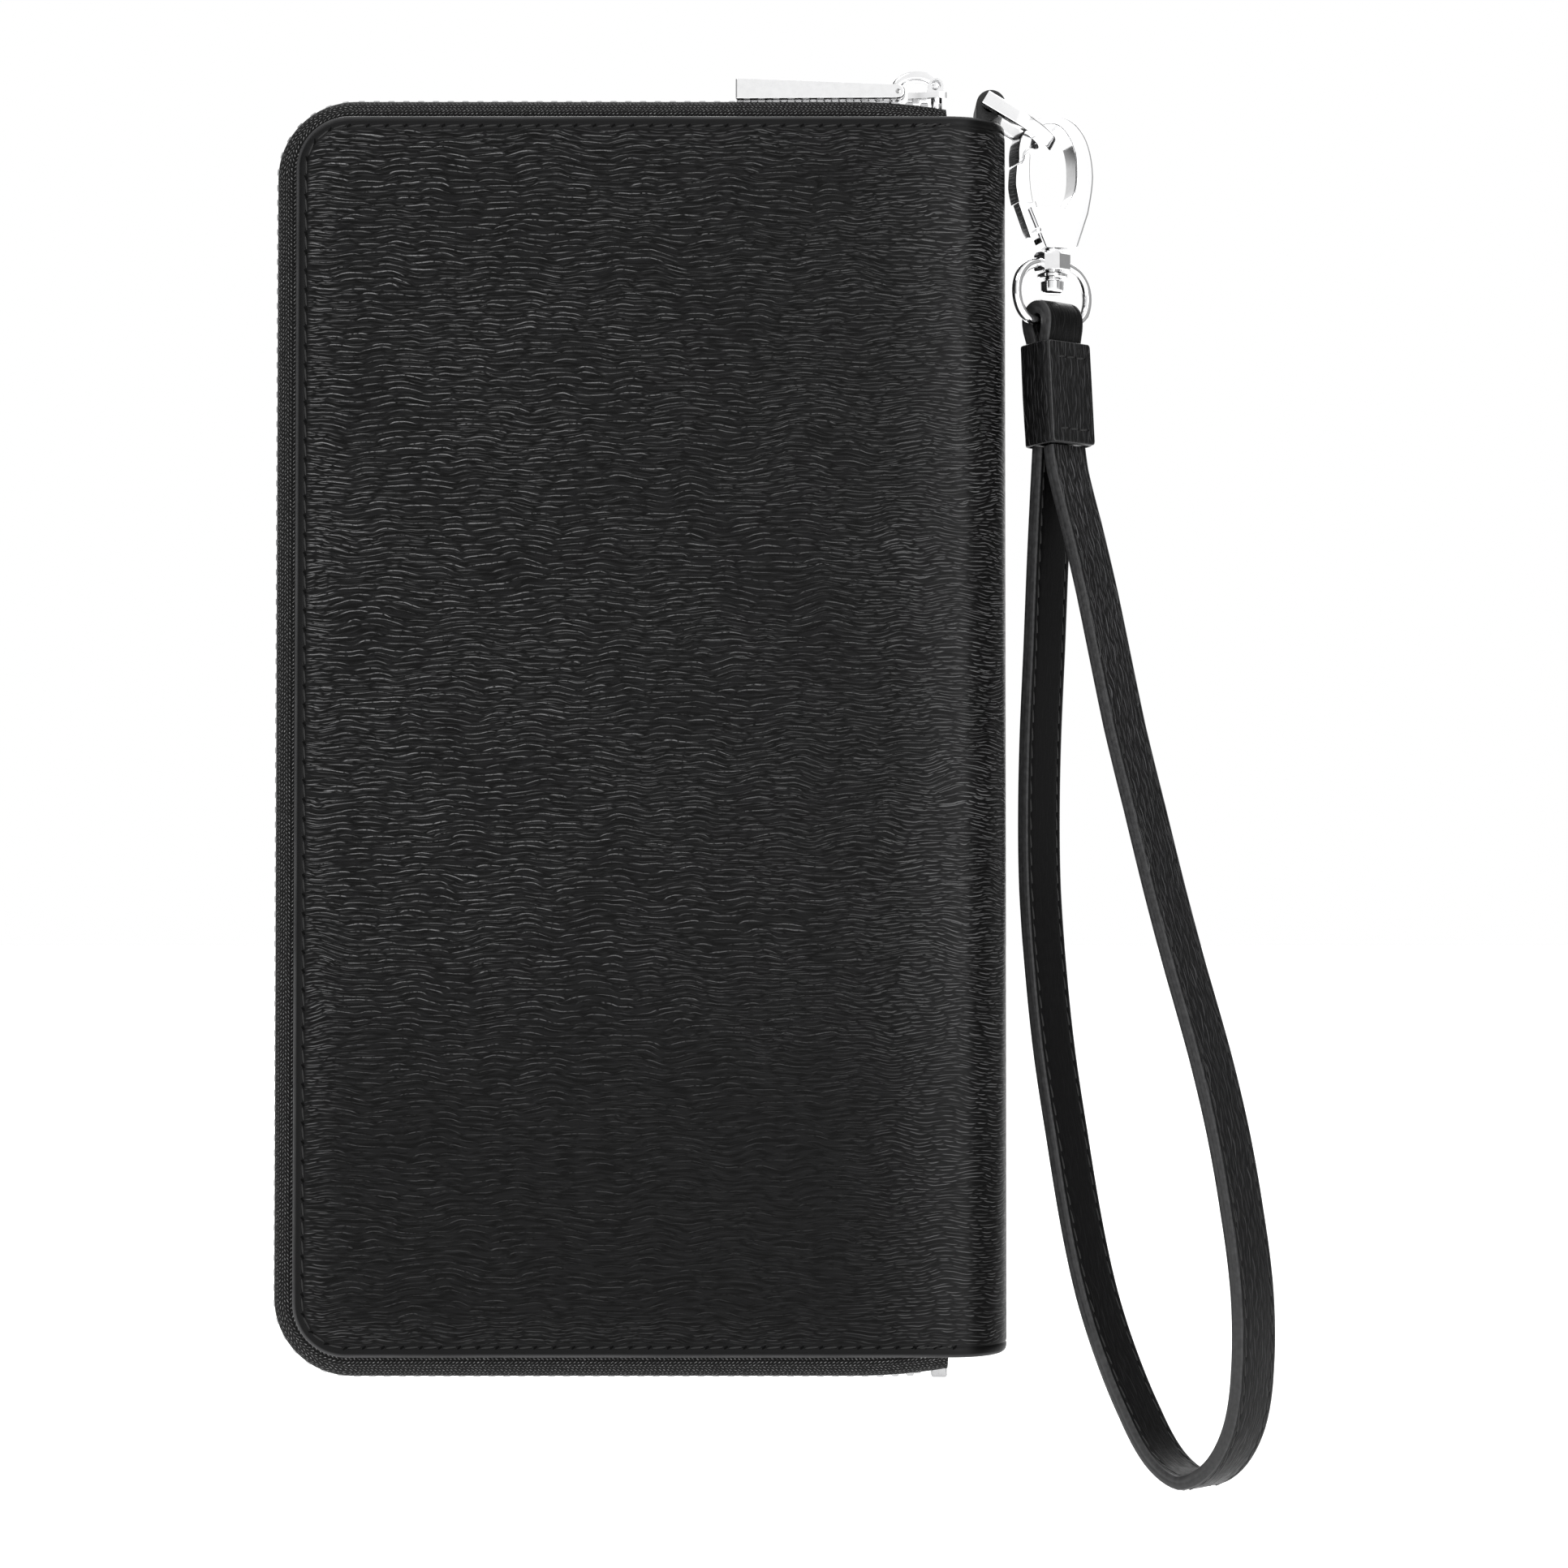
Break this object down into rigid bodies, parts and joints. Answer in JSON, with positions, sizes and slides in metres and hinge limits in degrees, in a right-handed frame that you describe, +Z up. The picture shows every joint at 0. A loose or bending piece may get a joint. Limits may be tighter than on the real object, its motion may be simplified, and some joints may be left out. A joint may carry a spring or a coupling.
{
  "type": "long wallet",
  "caption": "Upright zip-round long leather wallet that opens like a book, with card panels, coin pocket and a clip-on wrist strap.",
  "frame": {"origin": "centre of the back cover's flat outer face, at half the wallet's height", "axes": "+Z up along the wallet's long side, +Y out of the back cover, +X towards the spine"},
  "size_m": [0.1458, 0.044, 0.2092],
  "materials": {
    "cover_leather": "fine wavy grain, satin, black",
    "strap_leather": "fine lengthwise grain outside, smooth inside, painted edges, black",
    "inner_leather": "fine pebble grain, matt, black",
    "lining": "close twill, matt, black",
    "board": "pressed fibre board, matt, grey-brown",
    "zip_tape": "herringbone knit tape, matt, black",
    "zip_teeth": "bright nickel",
    "hardware": "polished nickel"
  },
  "bodies": {
    "back_cover": {"back_leather": "cover_leather", "back_board": "board", "back_lining": "lining", "back_zip_tape": "zip_tape", "back_zip_teeth": "zip_teeth", "zip_bottom_stop": "zip_teeth", "card_panel_1": "inner_leather", "card_panel_2": "inner_leather", "card_panel_3": "inner_leather", "card_panel_4": "inner_leather"},
    "spine": {"spine_leather": "cover_leather", "spine_lining": "lining", "ring_loop": "cover_leather"},
    "front_cover": {"front_leather": "cover_leather", "front_board": "board", "front_lining": "lining", "front_zip_tape": "zip_tape", "front_zip_teeth": "zip_teeth", "note_pocket": "inner_leather"},
    "coin_page": {"coin_pocket_back": "lining", "coin_pocket_front": "lining", "coin_pocket_gusset": "lining", "coin_zip_tape": "zip_tape", "coin_zip_teeth": "zip_teeth"},
    "coin_zip_slider": {"coin_slider": "hardware"},
    "coin_zip_pull": {"coin_pull": "hardware"},
    "zip_slider": {"slider_body": "hardware", "crown_pin": "hardware"},
    "zip_link": {"puller_link": "hardware"},
    "zip_pull": {"puller_bar": "hardware", "puller_pin": "hardware"},
    "ring": {"d_ring": "hardware"},
    "hook": {"hook_body": "hardware", "gate_pin": "hardware", "gate_spring": "hardware", "swivel_washer": "hardware"},
    "gate": {"hook_gate": "hardware"},
    "swivel": {"swivel_eye": "hardware"},
    "strap": {"strap_fold": "strap_leather", "strap_keeper": "strap_leather", "wrist_strap": "strap_leather"}
  },
  "joints": [
    {"name": "spine_fold", "type": "hinge", "parent": "back_cover", "child": "spine", "pos_m": [0.0462, 0, 0], "axis": [0, 0, 1], "range_deg": [0, 90]},
    {"name": "cover_fold", "type": "hinge", "parent": "spine", "child": "front_cover", "pos_m": [0.0462, -0.021, 0], "axis": [0, 0, 1], "range_deg": [0, 90], "deforming": ["front_zip_teeth"]},
    {"name": "page_turn", "type": "hinge", "parent": "spine", "child": "coin_page", "pos_m": [0.0462, -0.0105, 0], "axis": [0, 0, 1], "range_deg": [0, 46]},
    {"name": "coin_slider_slide", "type": "slide", "parent": "coin_page", "child": "coin_zip_slider", "axis": [0, 0, -1], "range_m": [0, 0.145]},
    {"name": "coin_pull_swing", "type": "hinge", "parent": "coin_zip_slider", "child": "coin_zip_pull", "pos_m": [-0.0478, -0.01295, 0.0768], "axis": [0, -1, 0], "range_deg": [0, 75]},
    {"name": "slider_slide", "type": "slide", "parent": "back_cover", "child": "zip_slider", "axis": [-1, 0, 0], "range_m": [0, 0.08], "deforming": ["back_zip_teeth"]},
    {"name": "link_swing", "type": "hinge", "parent": "zip_slider", "child": "zip_link", "pos_m": [0.0444, -0.0105, 0.0983], "axis": [0, 1, 0], "range_deg": [0, 85]},
    {"name": "pull_swing", "type": "hinge", "parent": "zip_link", "child": "zip_pull", "pos_m": [0.0387, -0.0105, 0.0973], "axis": [0, 1, 0], "range_deg": [0, 60]},
    {"name": "ring_swing", "type": "hinge", "parent": "spine", "child": "ring", "pos_m": [0.0526, -0.0105, 0.0949], "axis": [0, -1, 0], "range_deg": [0, 100]},
    {"name": "hook_swing", "type": "hinge", "parent": "ring", "child": "hook", "pos_m": [0.0614, -0.0105, 0.0896], "axis": [0, -1, 0], "range_deg": [0, 75]},
    {"name": "gate_press", "type": "hinge", "parent": "hook", "child": "gate", "pos_m": [0.05929, -0.0112, 0.0762], "axis": [-0.2419, 0.9703, 0], "range_deg": [0, 20], "stiffness_Nm_per_rad": 0.004, "springref_deg": -28.65, "deforming": ["gate_spring"]},
    {"name": "swivel_turn", "type": "hinge", "parent": "hook", "child": "swivel", "pos_m": [0.0621, -0.0105, 0.0717], "axis": [0, 0, 1], "range_deg": [0, 100]},
    {"name": "strap_swing", "type": "hinge", "parent": "swivel", "child": "strap", "pos_m": [0.0621, -0.0105, 0.0627], "axis": [-0.766, -0.6428, 0], "range_deg": [0, 70]}
  ],
  "couplings": [
    {"joint": "page_turn", "follows": "cover_fold", "ratio": 0.5}
  ]
}
